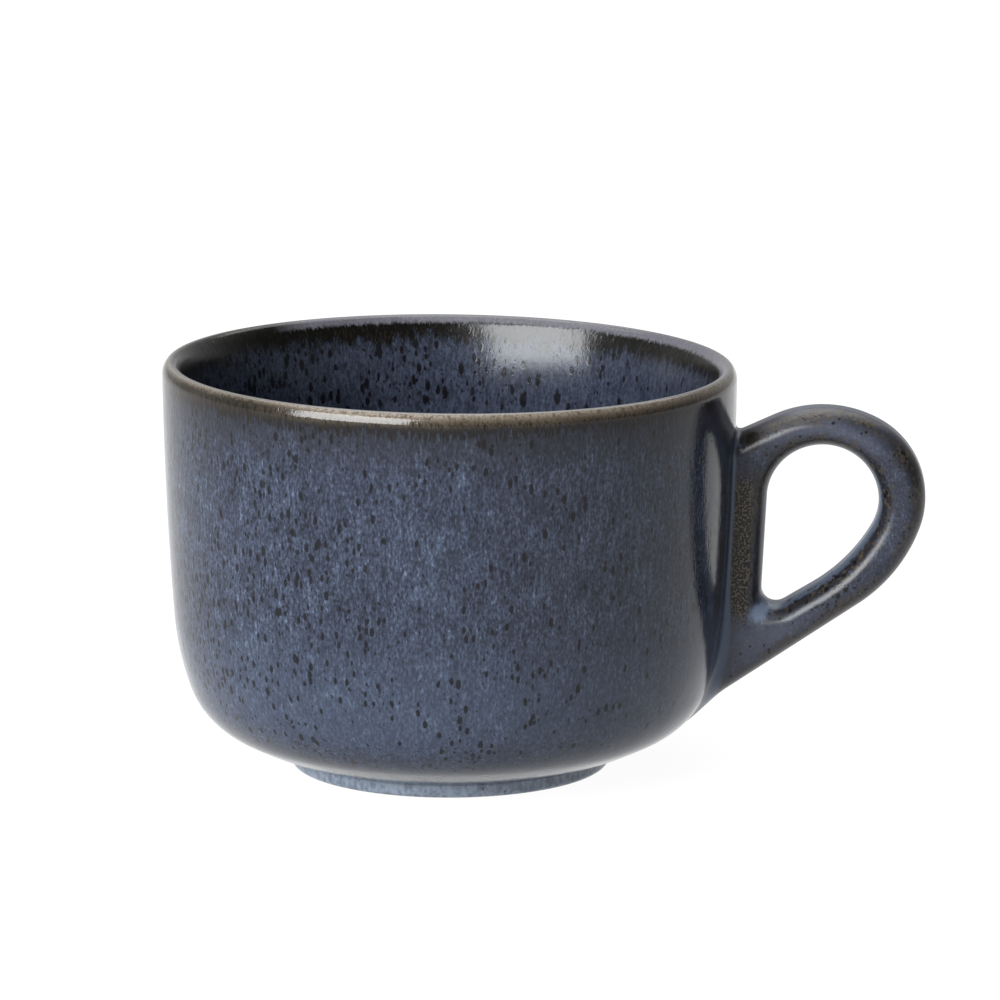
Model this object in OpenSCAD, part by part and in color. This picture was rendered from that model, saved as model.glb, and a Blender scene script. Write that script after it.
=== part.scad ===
// Glazed stoneware coffee cup: a round bowl on a low foot ring, with a closed
// ear-shaped handle luted to its wall and a thin glaze coat over the clay.
// Millimetres, +Z up. The origin is on the cup's axis, in the plane of the foot.
// The handle stands out along +X.

/* [Cup] */
// Overall height, to the top of the lip
mug_h = 64.2; // [60:0.2:68]
// Radius of the rounded lip
lip_r = 1.45; // [1.2:0.05:1.8]
// Thickness of the wall below the lip, both coats included
wall_t = 4.1; // [3.6:0.1:4.6]
// Radius of the long inner curve over which the wall thins up to the lip
edge_r = 50; // [35:1:70]
// Radius of the long, nearly straight arc that the wall follows
wall_r = 617; // [400:1:900]
// Radius of the arc that joins the wall to the lower turn
shoulder_r = 45; // [35:0.5:55]
// Radius of the tight lower turn of the bowl
turn_r = 13; // [11:0.1:15]
// Radius of the shallow arc under the lower turn
heel_r = 60; // [45:1:75]
// Slope of the surface at the foot, as the angle of its outward normal
heel_start_a = -71.5; // [-75:0.5:-69]
// Outward normal where the shallow arc meets the lower turn
heel_end_a = -62.5; // [-66:0.5:-60]
// Outward normal where the lower turn meets the shoulder arc
turn_end_a = -19; // [-24:0.5:-15]
// Outward normal where the shoulder arc meets the wall
shoulder_end_a = -4; // [-6:0.1:-3]
// Radius that blends the inside wall into the flat floor
floor_blend_r = 12; // [8:0.5:16]

/* [Foot] */
// Outside radius of the foot ring, over the glaze
foot_r = 25.2; // [24:0.1:27]
// Height of the foot ring below the bowl
foot_h = 2.4; // [2:0.1:3]
// Radial thickness of the foot ring
foot_t = 4.6; // [3.5:0.1:6]
// Rounding of the foot ring's two lower edges
foot_round = 0.8; // [0.4:0.1:0.9]
// Horizontal step from the foot ring to the start of the bowl's curve
heel_step = 1; // [0.6:0.1:1.5]

/* [Handle] */
// Width of the handle, across its plane
hand_w = 10; // [8:0.5:12]
// Squareness of the handle's section, where 2 is an ellipse
hand_square = 3; // [2.4:0.1:4]
// Distance of the handle's highest point from the cup's axis
loop_x = 58.5; // [56:0.5:62]
// Height of the handle's highest point
loop_top_z = 57.6; // [55:0.2:60]
// Outer outline: radius just outside the highest point
loop_crest_r = 18.2; // [16:0.2:20]
// Outer outline: radius round the far end
loop_end_r = 13.5; // [12:0.1:15]
// Outer outline: radius where the far end runs into the lower arm
loop_low_r = 24.5; // [22:0.5:27]
// Outer outline: radius from the highest point back toward the wall
loop_back_r = 18.3; // [16:0.1:20]
// Length of the straight lower arm, to just inside the wall
arm_l = 29.5; // [28:0.5:31]
// Length of the straight upper arm, to just inside the wall
top_arm_l = 9; // [8:0.5:10]
// Height of the finger hole's highest point
hole_top_z = 52.4; // [51:0.1:53.5]
// Finger hole: radius of its upper, outer side
hole_end_r = 9.2; // [8.5:0.1:9.6]
// Finger hole: radius of its lower, outer side
hole_low_r = 26.8; // [24:0.2:29]
// Finger hole: length of the straight run into its lower corner
hole_arm_l = 5; // [4:0.2:6]
// Finger hole: radius of the lower corner
hole_corner_r = 2.75; // [2:0.05:3.2]
// Finger hole: radius of the upper corner by the wall
hole_upper_r = 9; // [7:0.2:10]

/* [Glaze and joint] */
// Thickness of the glaze coat
glaze_t = 0.4; // [0.3:0.05:0.6]
// Thickness of the slip joint between the handle and the wall
lute_t = 0.5; // [0.4:0.05:0.8]
// Lowest height of the joint, where the wall is left unglazed
joint_low_z = 10.6; // [10.2:0.1:10.8]
// Highest height of the joint
joint_top_z = 53; // [52.8:0.1:53.4]
// Depth of the band below the lip where the glaze breaks brown
rim_band = 3.6; // [2.5:0.1:5]
// Height above the table at which the foot's glaze is wiped off
wipe_h = 0.6; // [0.5:0.05:0.9]

/* [Hidden] */
// Facets round a full turn of the cup
$fn = 180;
// Steps in the short and the long arcs of a section
arc_n = 6;
turn_n = 14;
// Steps round the lip
lip_n = 16;
// Stations round the handle loop, and points round each section
loop_n = 72;
sect_n = 16;
// Radii of the two ends of the handle's outline, both inside the wall
tip_r = 1;
// Outward normals at which the handle's outer arcs meet
crest_a = 61;
end_a = -19.5;
low_a = -56;
back_a = 114.5;
// Outward normals at which the finger hole's arcs meet
hole_end_a = -30;
hole_low_a = -59;
hole_spine_a = 177;
hole_back_a = 131.5;
// Depth that shapes used only for cutting run past the cup
past = 10;

function dir(a) = [cos(a), sin(a)];
function run(a) = [sin(a), -cos(a)];
function arc(c, r, a0, a1, n, first = 0) =
    [for (i = [first:n]) c + r * dir(a0 + (a1 - a0) * i / n)];
function flip(v) = [for (i = [len(v) - 1:-1:0]) v[i]];
function tail(v) = [for (i = [1:len(v) - 1]) v[i]];

// Centres of the arcs of the cup's outside, each tangent to the next
heel_p = [foot_r + heel_step, foot_h];
heel_c = heel_p - heel_r * dir(heel_start_a);
turn_c = heel_c + (heel_r - turn_r) * dir(heel_end_a);
shoulder_c = turn_c + (turn_r - shoulder_r) * dir(turn_end_a);
wall_c = shoulder_c + (shoulder_r - wall_r) * dir(shoulder_end_a);
lip_z = mug_h - lip_r;
wall_end_a = asin((lip_z - wall_c[1]) / (wall_r - lip_r));
lip_c = wall_c + (wall_r - lip_r) * dir(wall_end_a);
band_z = mug_h - rim_band;
band_a = asin((band_z - wall_c[1]) / wall_r);
// The inner curve's arc is tangent to the lip and to the inside wall
lip_d = wall_r - lip_r;
edge_d = wall_r - wall_t + edge_r;
edge_lip_d = edge_r - lip_r;
edge_tilt = acos((pow(edge_d, 2) - pow(lip_d, 2) - pow(edge_lip_d, 2))
    / (2 * lip_d * edge_lip_d));
edge_c = lip_c + edge_lip_d * dir(wall_end_a - edge_tilt);
edge_a0 = 180 + wall_end_a - edge_tilt;
inner_a = atan2(edge_c[1] - wall_c[1], edge_c[0] - wall_c[0]);
band_in_a = 180 - asin((band_z - edge_c[1]) / edge_r);
floor_c = heel_c + (heel_r - wall_t - floor_blend_r) * dir(heel_start_a);
floor_z = floor_c[1] - floor_blend_r;
foot_in_r = foot_r - foot_t;
joint_w = hand_w - 2 * glaze_t;

// The wall's section line at depth d below the glazed outside, from the foot
// up to the outward normal a
function wall_line(d, a) = concat(
    arc(heel_c, heel_r - d, heel_start_a, heel_end_a, arc_n),
    arc(turn_c, turn_r - d, heel_end_a, turn_end_a, turn_n, 1),
    arc(shoulder_c, shoulder_r - d, turn_end_a, shoulder_end_a, arc_n, 1),
    arc(wall_c, wall_r - d, shoulder_end_a, a, arc_n, 1)
);
// The inside line at depth g in the clay, floor included, from the floor's
// centre out and up to the edge curve
function inside_line(g) = concat(
    [[0, floor_z - g]],
    arc(floor_c, floor_blend_r + g, -90, heel_start_a, arc_n),
    tail(wall_line(wall_t - g, inner_a))
);
// The coat's line at depth g over the lip, from the band's lower edge outside
// to its lower edge inside
function rim_line(g) = concat(
    arc(wall_c, wall_r - g, band_a, wall_end_a, arc_n),
    arc(lip_c, lip_r - g, wall_end_a, edge_a0, lip_n, 1),
    arc(edge_c, edge_r - g, edge_a0, band_in_a, arc_n, 1)
);
// The inside coat's line at depth g, up to the band
function inner_line(g) = concat(
    inside_line(g),
    arc(edge_c, edge_r - g, 180 + inner_a, band_in_a, arc_n, 1)
);

// A solid that fills the whole cup, out to depth d
module cup_fill(d) {
    rotate_extrude()
        polygon(concat([[0, foot_h - past / 5]], [[heel_p[0], foot_h - past / 5]],
            wall_line(d, wall_end_a), [[lip_c[0], mug_h + past], [0, mug_h + past]]));
}

// Centres of the arcs of the handle's outer outline
loop_top = [loop_x, loop_top_z];
crest_c = loop_top - loop_crest_r * dir(90);
end_c = crest_c + (loop_crest_r - loop_end_r) * dir(crest_a);
low_c = end_c + (loop_end_r - loop_low_r) * dir(end_a);
tip_c = low_c + (loop_low_r - tip_r) * dir(low_a) + arm_l * run(low_a);
back_c = loop_top - loop_back_r * dir(90);
root_c = back_c + (loop_back_r - tip_r) * dir(back_a) - top_arm_l * run(back_a);
// Centres of the arcs of the finger hole
hole_end_c = [loop_x, hole_top_z - hole_end_r];
hole_low_c = hole_end_c + (hole_end_r - hole_low_r) * dir(hole_end_a);
hole_corner_c = hole_low_c + (hole_low_r - hole_corner_r) * dir(hole_low_a)
    + hole_arm_l * run(hole_low_a);
hole_upper_c = hole_end_c + (hole_end_r - hole_upper_r) * dir(hole_back_a);

// Point of the outer outline, and of the hole, with outward normal a in the
// handle's plane; a runs from 90 down to -270, and both are drawn in by d
function loop_pt(a, d) =
    a >= crest_a ? crest_c + (loop_crest_r - d) * dir(a) :
    a >= end_a ? end_c + (loop_end_r - d) * dir(a) :
    a >= low_a ? low_c + (loop_low_r - d) * dir(a) :
    a >= -180 ? tip_c + (tip_r - d) * dir(a) :
    a >= back_a - 360 ? root_c + (tip_r - d) * dir(a) :
    back_c + (loop_back_r - d) * dir(a);
function hole_pt(a, d) =
    a >= hole_end_a ? hole_end_c + (hole_end_r + d) * dir(a) :
    a >= hole_low_a ? hole_low_c + (hole_low_r + d) * dir(a) :
    a >= hole_spine_a - 360 ? hole_corner_c + (hole_corner_r + d) * dir(a) :
    a >= hole_back_a - 360 ? hole_upper_c + (hole_upper_r + d) * dir(a) :
    hole_end_c + (hole_end_r + d) * dir(a);

// Rounded-square section: a signed power keeps the sides soft and the corners full
function soft(v) = sign(v) * pow(abs(v), 2 / hand_square);
// One point of the handle's skin, at station i and section point j
function skin_pt(i, j, d) =
    let (a = 90 - 360 * i / loop_n,
         q = 360 * (j + 0.5) / sect_n,
         o = loop_pt(a, d),
         h = hole_pt(a, d),
         p = (o + h) / 2 + (o - h) / 2 * soft(cos(q)))
    [p[0], (hand_w / 2 - d) * soft(sin(q)), p[1]];
function skin_id(i, j) = (i % loop_n) * sect_n + (j % sect_n);

// The closed loop of the handle with its spine, drawn in by d
module loop_body(d) {
    polyhedron(
        points = [for (i = [0:loop_n - 1]) for (j = [0:sect_n - 1]) skin_pt(i, j, d)],
        faces = [for (i = [0:loop_n - 1]) for (j = [0:sect_n - 1]) for (k = [0, 1])
            k == 0 ? [skin_id(i, j), skin_id(i, j + 1), skin_id(i + 1, j + 1)]
                   : [skin_id(i, j), skin_id(i + 1, j + 1), skin_id(i + 1, j)]]
    );
}

// ---- sub-parts ----

// Clay bowl: wall, rounded lip and floor
module bowl() {
    color([0.72, 0.62, 0.52])
        rotate_extrude()
            polygon(concat(
                [[0, foot_h], [foot_r - glaze_t, foot_h]],
                wall_line(glaze_t, wall_end_a),
                arc(lip_c, lip_r - glaze_t, wall_end_a, edge_a0, lip_n, 1),
                arc(edge_c, edge_r - glaze_t, edge_a0, 180 + inner_a, arc_n, 1),
                tail(flip(inside_line(glaze_t)))));
}

// Clay ring that the cup stands on, rounded at its two lower edges
module foot_ring() {
    out_r = foot_r - glaze_t;
    in_r = foot_in_r + glaze_t;
    color([0.74, 0.65, 0.55])
        rotate_extrude()
            polygon(concat(
                [[in_r, foot_h]],
                arc([in_r + foot_round, foot_round], foot_round, 180, 270, arc_n),
                arc([out_r - foot_round, foot_round], foot_round, 270, 360, arc_n),
                [[out_r, foot_h]]));
}

// Clay handle: the loop and its spine, in one casting, hollowed to the wall
module handle() {
    color([0.70, 0.60, 0.50])
        difference() {
            loop_body(glaze_t);
            cup_fill(glaze_t - lute_t);
        }
}

// Layer of fired slip that joins the spine to the wall
module handle_lute() {
    color([0.62, 0.52, 0.44])
        intersection() {
            loop_body(glaze_t);
            difference() {
                cup_fill(glaze_t - lute_t);
                cup_fill(glaze_t);
            }
        }
}

// Blue-grey coat on the outside wall, open where the handle is joined
module outer_glaze() {
    color([0.29, 0.31, 0.36])
        difference() {
            rotate_extrude()
                polygon(concat(wall_line(0, band_a), flip(wall_line(glaze_t, band_a))));
            translate([foot_r, -joint_w / 2, joint_low_z])
                cube([foot_r, joint_w, joint_top_z - joint_low_z]);
        }
}

// Dark blue coat on the inside wall and floor
module inner_glaze() {
    color([0.17, 0.20, 0.26])
        rotate_extrude()
            polygon(concat(inner_line(0), flip(inner_line(glaze_t))));
}

// Coat over the lip, where it runs thin and breaks brown
module rim_glaze() {
    color([0.42, 0.36, 0.30])
        rotate_extrude()
            polygon(concat(rim_line(0), flip(rim_line(glaze_t))));
}

// Coat on the handle loop
module handle_glaze() {
    color([0.27, 0.28, 0.32])
        difference() {
            loop_body(0);
            loop_body(glaze_t);
            cup_fill(0);
        }
}

// Pale blue coat on the outside of the foot ring and under the heel
module foot_glaze() {
    color([0.52, 0.55, 0.60])
        rotate_extrude()
            polygon([
                [foot_r - glaze_t, wipe_h + foot_round / 2],
                [foot_r, wipe_h + foot_round / 2],
                [foot_r, foot_h - glaze_t],
                heel_p,
                heel_p - glaze_t * dir(heel_start_a),
                [foot_r - glaze_t, foot_h]]);
}

// Coat on the sunk base inside the foot ring
module base_glaze() {
    color([0.36, 0.39, 0.44])
        rotate_extrude()
            polygon([
                [0, foot_h - glaze_t],
                [foot_in_r, foot_h - glaze_t],
                [foot_in_r, wipe_h + foot_round / 2],
                [foot_in_r + glaze_t, wipe_h + foot_round / 2],
                [foot_in_r + glaze_t, foot_h],
                [0, foot_h]]);
}

bowl();
foot_ring();
handle();
handle_lute();
outer_glaze();
inner_glaze();
rim_glaze();
handle_glaze();
foot_glaze();
base_glaze();
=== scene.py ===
import math

import bpy
import numpy as np
from mathutils import Matrix


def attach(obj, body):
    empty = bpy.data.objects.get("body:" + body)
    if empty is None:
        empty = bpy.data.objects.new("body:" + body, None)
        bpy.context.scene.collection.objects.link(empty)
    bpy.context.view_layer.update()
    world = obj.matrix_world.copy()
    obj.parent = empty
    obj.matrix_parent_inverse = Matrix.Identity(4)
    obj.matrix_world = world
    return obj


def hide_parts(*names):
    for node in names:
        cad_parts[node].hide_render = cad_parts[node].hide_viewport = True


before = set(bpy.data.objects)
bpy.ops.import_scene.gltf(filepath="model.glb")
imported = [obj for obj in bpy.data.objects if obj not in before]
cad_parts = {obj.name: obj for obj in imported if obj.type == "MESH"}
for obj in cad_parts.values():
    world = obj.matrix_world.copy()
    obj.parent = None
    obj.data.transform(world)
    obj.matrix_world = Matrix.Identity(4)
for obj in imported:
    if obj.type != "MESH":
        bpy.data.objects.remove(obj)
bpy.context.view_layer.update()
MM = 0.001

# ---------------------------------------------------------------- sizes as in the CAD
# millimetres, and degrees for the names that end in _A
MUG_H, LIP_R = 64.2, 1.45
WALL_R, SHOULDER_R, TURN_R, HEEL_R = 617.0, 45.0, 13.0, 60.0
HEEL_A, TURN_A0, TURN_A1, WALL_A = -71.5, -62.5, -19.0, -4.0
FLOOR_R = 12.0
FOOT_R, FOOT_H, FOOT_T, FOOT_ROUND, HEEL_STEP = 25.2, 2.4, 4.6, 0.8, 1.0
HAND_W = 10.0
GLAZE = 0.4
WIPE_H = 0.6 + FOOT_ROUND / 2
LOOP_X, LOOP_TOP, HOLE_TOP = 58.5, 57.6, 52.4
CREST_R, END_R, LOW_R, BACK_R = 18.2, 13.5, 24.5, 18.3
CREST_A, END_A, LOW_A, BACK_A = 61.0, -19.5, -56.0, 114.5
ARM_L, TOP_ARM_L = 29.5, 9.0
HOLE_END_R, HOLE_LOW_R, HOLE_CORNER_R, HOLE_UPPER_R = 9.2, 26.8, 2.75, 9.0
HOLE_END_A, HOLE_LOW_A, HOLE_SPINE_A, HOLE_BACK_A = -30.0, -59.0, 177.0, 131.5
HOLE_ARM_L = 5.0
TILT = -0.0122          # slope of the lip, which is lower on the handle's side
TILT_FROM, TILT_TO = 38.0, 62.0         # the lean fades in between these heights

# camera, fitted to the rim, foot and wall; CAM_F is the lens in sensor widths
CAM_DIST, CAM_H, CAM_X, CAM_PITCH, CAM_F = 950.0, 235.57, 7.86, 11.51, 6.166
HANDLE_TURN = 3.5       # degrees the handle is turned toward the viewer


def d2(a):
    """Unit vector at an angle of a degrees."""
    a = np.radians(a)
    return np.array([np.cos(a), np.sin(a)])


def run(a):
    """Unit vector along a circle at the angle a, turning clockwise."""
    a = np.radians(a)
    return np.array([np.sin(a), -np.cos(a)])


def arc(c, r, a0, a1, n, first=0):
    """Points on an arc in n steps; first=1 leaves the first one out."""
    return [np.asarray(c) + r * d2(a0 + (a1 - a0) * i / n) for i in range(first, n + 1)]


# ---------------------------------------------------------------- section lines of the cup
heel_p = np.array([FOOT_R + HEEL_STEP, FOOT_H])
heel_c = heel_p - HEEL_R * d2(HEEL_A)
turn_c = heel_c + (HEEL_R - TURN_R) * d2(TURN_A0)
shoulder_c = turn_c + (TURN_R - SHOULDER_R) * d2(TURN_A1)
wall_c = shoulder_c + (SHOULDER_R - WALL_R) * d2(WALL_A)
lip_z = MUG_H - LIP_R
wall_end = math.degrees(math.asin((lip_z - wall_c[1]) / (WALL_R - LIP_R)))
# turns of the visible lip, as (radius, first and last slope of the surface's normal)
LIP_OUT = ((0.9, 90, 40), (2.6, 40, -wall_end))
LIP_IN = ((1.3, 90, 45), (3.2, 45, 22), (12.0, 22, 12), (55.0, 12, 1.6))


def turns(p, parts, side, n=12):
    """A line that starts at p and rolls over by the given turns, out (+1) or in (-1)."""
    out = [np.array(p, float)]
    for r, a0, a1 in parts:
        for i in range(n):
            a = math.radians(a0 + (a1 - a0) * (i + 0.5) / n)
            ds = r * math.radians(a0 - a1) / n
            out.append(out[-1] + ds * np.array([side * math.sin(a), -math.cos(a)]))
    return out


lip_reach = turns((0, 0), LIP_OUT, 1)[-1][0]
lip_top = np.array([wall_c[0] + WALL_R * math.cos(math.radians(wall_end)) - lip_reach, MUG_H])
lip_out_line = turns(lip_top, LIP_OUT, 1)
lip_in_line = turns(lip_top, LIP_IN, -1, 16)
join = lip_out_line[-1]
wall_stop = math.degrees(math.asin((join[1] - wall_c[1]) / WALL_R))
inner_join = lip_in_line[-1]
WALL_T = WALL_R - float(np.hypot(*(inner_join - wall_c)))     # thickness under the lip
inner_stop = math.degrees(math.atan2(*(inner_join - wall_c)[::-1]))
floor_c = heel_c + (HEEL_R - WALL_T - FLOOR_R) * d2(HEEL_A)


def wall_line(d, a_end, fine=1.0):
    """The wall's four arcs from heel to lip, moved d into the clay."""
    k = lambda n: max(2, int(n * fine))
    return (arc(heel_c, HEEL_R - d, HEEL_A, TURN_A0, k(20))
            + arc(turn_c, TURN_R - d, TURN_A0, TURN_A1, k(30), 1)
            + arc(shoulder_c, SHOULDER_R - d, TURN_A1, WALL_A, k(26), 1)
            + arc(wall_c, WALL_R - d, WALL_A, a_end, k(60), 1))


def sink_line(line, d):
    """The line moved d into the clay; the clay lies on its right hand."""
    p = np.array(line)
    t = np.gradient(p, axis=0)
    t /= np.linalg.norm(t, axis=1, keepdims=True)
    return list(p + d * np.c_[t[:, 1], -t[:, 0]])


floor_flat = [np.array([x, floor_c[1] - FLOOR_R]) for x in np.linspace(0.0, floor_c[0], 10)[:-1]]
inside_all = (floor_flat + arc(floor_c, FLOOR_R, -90, HEEL_A, 12)
              + wall_line(WALL_T, inner_stop, 0.6)[1:] + lip_in_line[::-1][1:-1])
outside_all = wall_line(0, wall_stop)
skin = inside_all + lip_out_line[:-1] + outside_all[::-1]


def along(line):
    """Length run along a line of points."""
    p = np.array(line)
    return np.r_[0, np.cumsum(np.linalg.norm(np.diff(p, axis=0), axis=1))]


# one line over the whole cup, floor to lip to foot, and its length from the lip's top
skin_s = along(skin) - along(inside_all + [lip_top])[-1]
deep = sink_line(skin, GLAZE)
deep[0] = skin[0] - np.array([0, GLAZE])


# ---------------------------------------------------------------- helpers that make pieces
def lean(v):
    """The lip of the fired cup leans a little: raises or lowers points high on the cup."""
    t = np.clip((v[:, 2] - TILT_FROM) / (TILT_TO - TILT_FROM), 0, 1)
    t = t * t * (3 - 2 * t)
    a = math.radians(HANDLE_TURN)
    across = v[:, 0] * math.cos(a) + v[:, 1] * math.sin(a)
    w = v.copy()
    w[:, 2] += TILT * across * t
    return w


def new_mesh(name, verts, faces, attrs=None, sharp=None, leans=False):
    """An object from points in millimetres, with a value at each point for each attribute."""
    me = bpy.data.meshes.new(name)
    verts = np.asarray(verts, float)
    me.from_pydata(((lean(verts) if leans else verts) * MM).tolist(), [], faces)
    me.polygons.foreach_set("use_smooth", [True] * len(me.polygons))
    for key, val in (attrs or {}).items():
        at = me.attributes.new(key, "FLOAT", "POINT")
        at.data.foreach_set("value", np.asarray(val, float))
    me.validate()
    me.update()
    if sharp is not None:
        me.set_sharp_from_angle(angle=math.radians(sharp))
    ob = bpy.data.objects.new(name, me)
    bpy.context.scene.collection.objects.link(ob)
    return ob


def revolve(name, ring, s_mm, seg=360, sharp=35):
    """A closed section line of (r, z) points turned about the cup's axis. s_mm is the length from
    the lip's top at each of them, which the glaze's bands follow."""
    ring = [np.asarray(p, float) for p in ring]
    verts, faces, s_out, idx = [], [], [], []
    for p, s in zip(ring, s_mm):
        if p[0] < 1e-6:
            idx.append([len(verts)] * seg)
            verts.append((0, 0, p[1]))
            s_out.append(s)
        else:
            base = len(verts)
            idx.append(list(range(base, base + seg)))
            for k in range(seg):
                a = 2 * math.pi * k / seg
                verts.append((p[0] * math.cos(a), p[0] * math.sin(a), p[1]))
                s_out.append(s)
    n = len(ring)
    for i in range(n):
        a, b = idx[i], idx[(i + 1) % n]
        for k in range(seg):
            j = (k + 1) % seg
            f = [a[k], a[j], b[j], b[k]]
            f = [v for q, v in enumerate(f) if v != f[q - 1]]
            if len(f) > 2:
                faces.append(f)
    return new_mesh(name, verts, faces, {"s_mm": s_out}, sharp, True)


# ---------------------------------------------------------------- the handle's outlines
loop_top = np.array([LOOP_X, LOOP_TOP])
crest_c = loop_top - CREST_R * d2(90)
end_c = crest_c + (CREST_R - END_R) * d2(CREST_A)
low_c = end_c + (END_R - LOW_R) * d2(END_A)
back_c = loop_top - BACK_R * d2(90)
hole_end_c = np.array([LOOP_X, HOLE_TOP - HOLE_END_R])
hole_low_c = hole_end_c + (HOLE_END_R - HOLE_LOW_R) * d2(HOLE_END_A)
hole_corner_c = (hole_low_c + (HOLE_LOW_R - HOLE_CORNER_R) * d2(HOLE_LOW_A)
                 + HOLE_ARM_L * run(HOLE_LOW_A))
hole_upper_c = hole_end_c + (HOLE_END_R - HOLE_UPPER_R) * d2(HOLE_BACK_A)

BURIED_X = 34.0
outer_line = []
outer_line += arc(crest_c, CREST_R, 90, CREST_A, 20)
outer_line += arc(end_c, END_R, CREST_A, END_A, 50, 1)
outer_line += arc(low_c, LOW_R, END_A, LOW_A, 40, 1)
# both arms run on into the clay, where the line closes out of sight
outer_line += [outer_line[-1] + run(LOW_A) * ARM_L * 1.12]
outer_line += [np.array([BURIED_X, outer_line[-1][1]]), np.array([BURIED_X, 51.0])]
back = arc(back_c, BACK_R, 90, BACK_A, 20)
outer_line += [back[-1] - run(BACK_A) * TOP_ARM_L * 1.3]
outer_line += back[::-1][:-1]
hole_line = []
hole_line += arc(hole_end_c, HOLE_END_R, 90, HOLE_END_A, 50)
hole_line += arc(hole_low_c, HOLE_LOW_R, HOLE_END_A, HOLE_LOW_A, 24, 1)
hole_line += arc(hole_corner_c, HOLE_CORNER_R, HOLE_LOW_A, HOLE_SPINE_A - 360, 40)
hole_line += arc(hole_upper_c, HOLE_UPPER_R, HOLE_SPINE_A, HOLE_BACK_A, 24)
hole_line += arc(hole_end_c, HOLE_END_R, HOLE_BACK_A, 90, 24, 1)[:-1]


def poly_distance(px, pz, line):
    """Distance from points to a closed line of points; negative inside."""
    p = np.array(line)
    q = np.roll(p, -1, 0)
    best = np.full(px.shape, 1e9)
    inside = np.zeros(px.shape, bool)
    for a, b in zip(p, q):
        ab = b - a
        ll = float(ab @ ab)
        if ll < 1e-12:
            continue
        t = np.clip(((px - a[0]) * ab[0] + (pz - a[1]) * ab[1]) / ll, 0, 1)
        best = np.minimum(best, (px - a[0] - t * ab[0]) ** 2 + (pz - a[1] - t * ab[1]) ** 2)
        if abs(ab[1]) > 1e-12:
            crosses = (a[1] > pz) != (b[1] > pz)
            inside ^= crosses & (px < (pz - a[1]) * ab[0] / ab[1] + a[0])
    best = np.sqrt(best)
    return np.where(inside, -best, best)


class Grid:
    """A distance table on a fine regular grid, read back smoothly."""

    def __init__(self, x0, x1, z0, z1, step, fn):
        self.x0, self.z0, self.h = x0, z0, step
        xs = np.arange(x0, x1 + step, step)
        zs = np.arange(z0, z1 + step, step)
        gx, gz = np.meshgrid(xs, zs, indexing="ij")
        self.v = fn(gx, gz)

    def __call__(self, x, z):
        fx = np.clip((x - self.x0) / self.h, 0, self.v.shape[0] - 1.001)
        fz = np.clip((z - self.z0) / self.h, 0, self.v.shape[1] - 1.001)
        i, j = fx.astype(int), fz.astype(int)
        u, w = fx - i, fz - j
        v = self.v
        return ((v[i, j] * (1 - u) + v[i + 1, j] * u) * (1 - w)
                + (v[i, j + 1] * (1 - u) + v[i + 1, j + 1] * u) * w)


# the box that the handle is meshed in, and tables of distance from its outlines and the wall
BX0, BX1, BY, BZ0, BZ1 = 36.0, 76.5, 9.0, 6.0, 61.0
TABLE_STEP, AROUND = 0.12, 2


def distance_table(line, x0=BX0 - AROUND, x1=BX1 + AROUND):
    return Grid(x0, x1, BZ0 - AROUND, BZ1 + AROUND, TABLE_STEP,
                lambda x, z: poly_distance(x, z, line))


wall_closed = wall_line(0, wall_end, 0.8)
wall_closed += [np.array(p) for p in ((44.98, 80.0), (-5.0, 80.0), (-5.0, 1.2), (22.4, 1.2))]
g_outer = distance_table(outer_line)
g_hole = distance_table(hole_line)
g_wall = distance_table(wall_closed, 30.0, 80.0)


def smooth_step(a, b, x):
    """0 at a and 1 at b, with soft ends; a may be the larger."""
    t = np.clip((x - a) / (b - a), 0, 1)
    return t * t * (3 - 2 * t)


def smin(a, b, k):
    """The smaller of two distances with a fillet of size k, and how far a point is into it."""
    h = np.clip(0.5 + 0.5 * (b - a) / k, 0, 1)
    return b + (a - b) * h - k * h * (1 - h), 4 * h * (1 - h)


# two points on the spine's axis
spine_a = hole_corner_c + (HOLE_CORNER_R + 3.0) * d2(HOLE_SPINE_A)
spine_b = hole_upper_c + (HOLE_UPPER_R + 3.2) * d2(HOLE_SPINE_A)
EDGE_R = 3.0                             # round of the bar's edges
CROWN, CROWN_IN = 0.85, 3.0              # how much and how far in from the edge the sides bulge
PIT = 0.5                                # a shallow hollow in the web, where pale glaze gathers
PIT_AT, PIT_TURN, PIT_LONG, PIT_WIDE = np.array([49.0, 25.8]), 48, 3.6, 1.9
FATTEN_OUT, FATTEN_IN = 0.28, 0.42       # how far the fired bar stands outside its drawn outlines
SPOT = np.array([47.6, -4.3, 53.0])      # a thick brown spot of glaze by the upper joint
SPOT_W, SPOT_H = 1.25, 1.5
RIDGE_W, RIDGE_SOFT = 0.6, 0.35


def line_gap(x, z, p, t):
    """How far points lie to one side of a straight line."""
    return (x - p[0]) * (-t[1]) + (z - p[1]) * t[0]


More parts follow.
